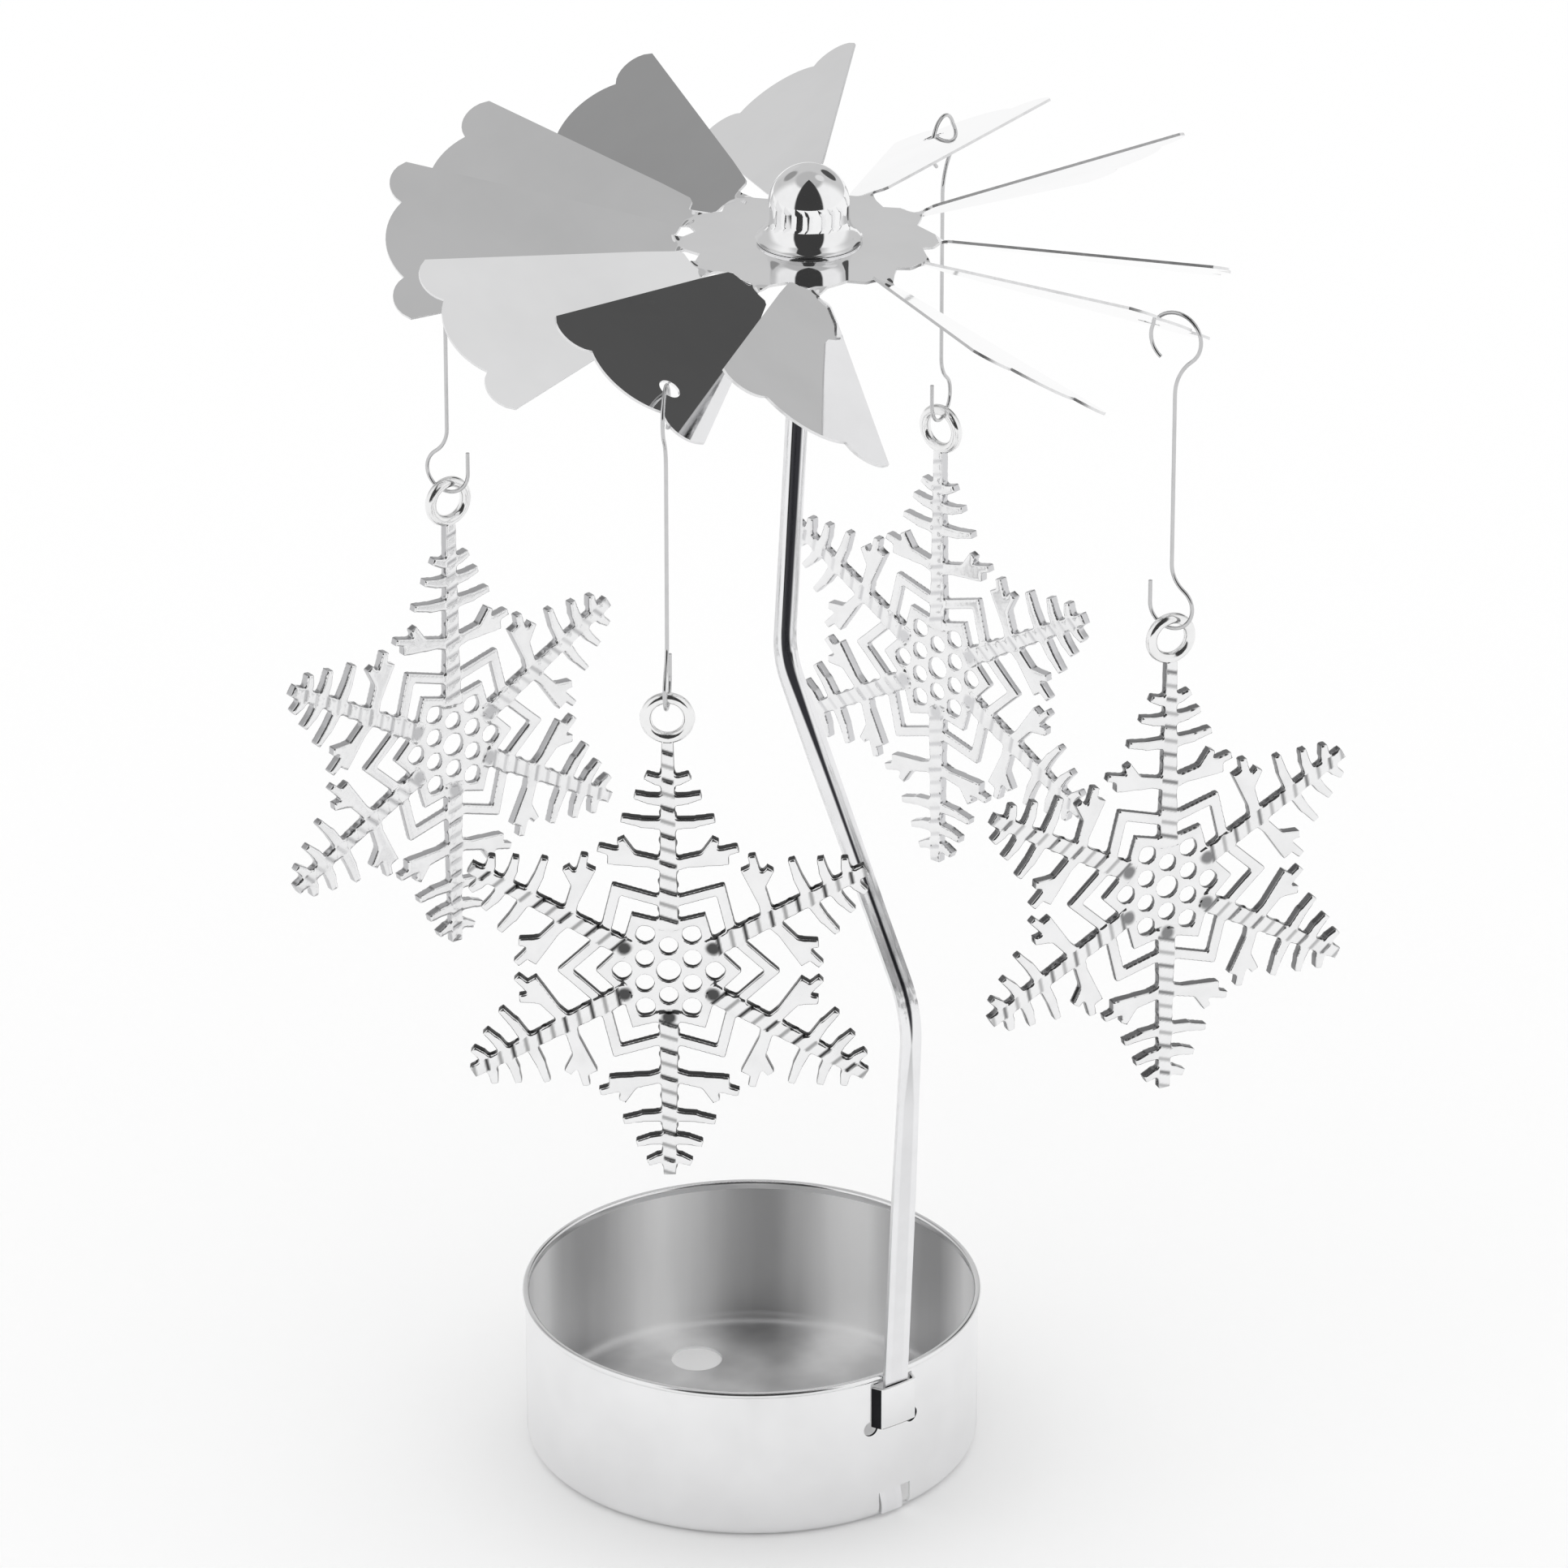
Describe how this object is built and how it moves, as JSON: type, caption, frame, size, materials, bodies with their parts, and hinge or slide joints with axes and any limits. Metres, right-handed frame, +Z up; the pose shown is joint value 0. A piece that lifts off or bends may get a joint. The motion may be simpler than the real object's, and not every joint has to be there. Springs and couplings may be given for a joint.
{
  "type": "rotating tealight holder",
  "caption": "Tealight cup with a bent strip stem that carries a twisted-blade rotor on a pivot cap, with snowflake charms on wire hooks that turn in the candle's warm air.",
  "frame": {"origin": "centre of the cup's underside, where it stands on the table", "axes": "+Z up, +X from the cup's centre towards the stem"},
  "size_m": [0.1042, 0.1135, 0.1821],
  "materials": {
    "tin": "polished outside, satin inside",
    "strip": "bright plated",
    "sheet": "mirror polished",
    "cap": "mirror polished",
    "wire": "bright plated",
    "charm": "bright plated, finely ribbed"
  },
  "bodies": {
    "base": {"cup": "tin", "stem": "strip"},
    "rotor": {"rotor": "sheet", "pivot_cap": "cap"},
    "hook_a": {"hook_a": "wire"},
    "charm_a": {"ring_a": "charm", "flake_a": "charm"},
    "hook_b": {"hook_b": "wire"},
    "charm_b": {"ring_b": "charm", "flake_b": "charm"},
    "hook_c": {"hook_c": "wire"},
    "charm_c": {"ring_c": "charm", "flake_c": "charm"},
    "hook_d": {"hook_d": "wire"},
    "charm_d": {"ring_d": "charm", "flake_d": "charm"}
  },
  "joints": [
    {"name": "rotor_spin", "type": "hinge", "parent": "base", "child": "rotor", "pos_m": [0.0119, 0, 0.172], "axis": [0, 0, 1], "continuous": true},
    {"name": "hook_a_swing", "type": "hinge", "parent": "rotor", "child": "hook_a", "pos_m": [0.03772, -0.04172, 0.16828], "axis": [-0.6884, -0.7254, 0], "range_deg": [-8, 20]},
    {"name": "charm_a_swing", "type": "hinge", "parent": "hook_a", "child": "charm_a", "pos_m": [0.03772, -0.04172, 0.12978], "axis": [0.7254, -0.6884, 0], "range_deg": [-20, 20]},
    {"name": "hook_b_swing", "type": "hinge", "parent": "rotor", "child": "hook_b", "pos_m": [0.05546, 0.02266, 0.16742], "axis": [0.3987, -0.9171, 0], "range_deg": [-8, 20]},
    {"name": "charm_b_swing", "type": "hinge", "parent": "hook_b", "child": "charm_b", "pos_m": [0.05546, 0.02266, 0.12892], "axis": [0.9171, 0.3987, 0], "range_deg": [-20, 20]},
    {"name": "hook_c_swing", "type": "hinge", "parent": "rotor", "child": "hook_c", "pos_m": [-0.01386, 0.04177, 0.16718], "axis": [0.887, 0.4617, 0], "range_deg": [-8, 20]},
    {"name": "charm_c_swing", "type": "hinge", "parent": "hook_c", "child": "charm_c", "pos_m": [-0.01386, 0.04177, 0.12868], "axis": [-0.4617, 0.887, 0], "range_deg": [-20, 20]},
    {"name": "hook_d_swing", "type": "hinge", "parent": "rotor", "child": "hook_d", "pos_m": [-0.03055, -0.0249, 0.16894], "axis": [-0.4462, 0.8949, 0], "range_deg": [-8, 20]},
    {"name": "charm_d_swing", "type": "hinge", "parent": "hook_d", "child": "charm_d", "pos_m": [-0.03055, -0.0249, 0.13044], "axis": [-0.8949, -0.4462, 0], "range_deg": [-20, 20]}
  ]
}
